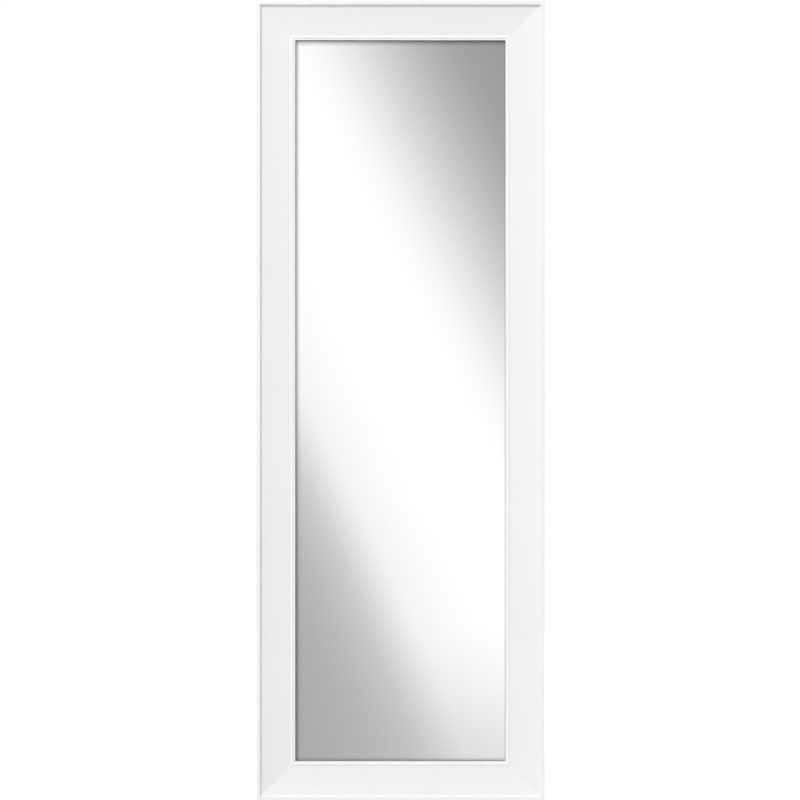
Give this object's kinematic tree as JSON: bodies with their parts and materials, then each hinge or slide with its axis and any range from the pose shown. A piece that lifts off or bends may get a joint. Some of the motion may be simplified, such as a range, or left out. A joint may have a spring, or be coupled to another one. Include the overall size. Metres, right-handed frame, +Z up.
{
  "type": "leaning floor mirror",
  "caption": "Tall rectangular floor mirror in a white mitred moulding with a scooped face; turn buttons hold its back in, and D-rings hinge on its stiles.",
  "frame": {"origin": "on the floor, under the middle of the mirror's width and of its depth over the wall bumpers", "axes": "+Z up the height of the mirror, +X across it to the right of a person who faces the glass; the glass faces -Y and the wall is on the +Y side"},
  "size_m": [0.54, 0.0336, 1.5015],
  "materials": {
    "white_lacquered_wood": "satin",
    "clear_glass": "polished",
    "silvering": "polished",
    "black_cloth_tape": "matte",
    "packing_rubber": "matte",
    "interleaf_card": "matte",
    "hardboard": "matte",
    "zinc_plated_steel": "satin",
    "blued_steel": "satin",
    "grey_rubber": "matte"
  },
  "bodies": {
    "frame": {"frame_bottom_rail": "white_lacquered_wood", "frame_left_stile": "white_lacquered_wood", "frame_top_rail": "white_lacquered_wood", "frame_right_stile": "white_lacquered_wood", "glazing_tape_bottom": "black_cloth_tape", "glazing_tape_top": "black_cloth_tape", "glazing_tape_left": "black_cloth_tape", "glazing_tape_right": "black_cloth_tape", "corner_v_nails": "blued_steel", "mirror_glass": "clear_glass", "silver_coat": "silvering", "setting_blocks": "packing_rubber", "side_packers": "packing_rubber", "interleaf_sheet": "interleaf_card", "backing_board": "hardboard", "turn_button_screws": "zinc_plated_steel", "hanger_screws": "zinc_plated_steel", "hanger_strap_left": "zinc_plated_steel", "foot_pad_left": "grey_rubber", "wall_bumper_bottom_left": "grey_rubber", "wall_bumper_top_left": "grey_rubber", "hanger_strap_right": "zinc_plated_steel", "foot_pad_right": "grey_rubber", "wall_bumper_bottom_right": "grey_rubber", "wall_bumper_top_right": "grey_rubber"},
    "turn_button_top": {"turn_button_top": "zinc_plated_steel"},
    "turn_button_bottom": {"turn_button_bottom": "zinc_plated_steel"},
    "turn_button_left_low": {"turn_button_left_low": "zinc_plated_steel"},
    "turn_button_left_middle": {"turn_button_left_middle": "zinc_plated_steel"},
    "turn_button_left_high": {"turn_button_left_high": "zinc_plated_steel"},
    "turn_button_right_low": {"turn_button_right_low": "zinc_plated_steel"},
    "turn_button_right_middle": {"turn_button_right_middle": "zinc_plated_steel"},
    "turn_button_right_high": {"turn_button_right_high": "zinc_plated_steel"},
    "hanger_ring_left": {"hanger_ring_left": "zinc_plated_steel"},
    "hanger_ring_right": {"hanger_ring_right": "zinc_plated_steel"}
  },
  "joints": [
    {"name": "turn_button_top_turn", "type": "hinge", "parent": "frame", "child": "turn_button_top", "pos_m": [0, 0.0108, 1.444], "axis": [0, 1, 0], "continuous": true},
    {"name": "turn_button_bottom_turn", "type": "hinge", "parent": "frame", "child": "turn_button_bottom", "pos_m": [0, 0.0108, 0.059], "axis": [0, 1, 0], "continuous": true},
    {"name": "turn_button_left_low_turn", "type": "hinge", "parent": "frame", "child": "turn_button_left_low", "pos_m": [-0.2125, 0.0108, 0.254], "axis": [0, 1, 0], "continuous": true},
    {"name": "turn_button_left_middle_turn", "type": "hinge", "parent": "frame", "child": "turn_button_left_middle", "pos_m": [-0.2125, 0.0108, 0.7515], "axis": [0, 1, 0], "continuous": true},
    {"name": "turn_button_left_high_turn", "type": "hinge", "parent": "frame", "child": "turn_button_left_high", "pos_m": [-0.2125, 0.0108, 1.249], "axis": [0, 1, 0], "continuous": true},
    {"name": "turn_button_right_low_turn", "type": "hinge", "parent": "frame", "child": "turn_button_right_low", "pos_m": [0.2125, 0.0108, 0.254], "axis": [0, 1, 0], "continuous": true},
    {"name": "turn_button_right_middle_turn", "type": "hinge", "parent": "frame", "child": "turn_button_right_middle", "pos_m": [0.2125, 0.0108, 0.7515], "axis": [0, 1, 0], "continuous": true},
    {"name": "turn_button_right_high_turn", "type": "hinge", "parent": "frame", "child": "turn_button_right_high", "pos_m": [0.2125, 0.0108, 1.249], "axis": [0, 1, 0], "continuous": true},
    {"name": "hanger_ring_left_swing", "type": "hinge", "parent": "frame", "child": "hanger_ring_left", "pos_m": [-0.248, 0.0129, 1.1815], "axis": [1, 0, 0], "range_deg": [0, 178]},
    {"name": "hanger_ring_right_swing", "type": "hinge", "parent": "frame", "child": "hanger_ring_right", "pos_m": [0.248, 0.0129, 1.1815], "axis": [1, 0, 0], "range_deg": [0, 178]}
  ]
}
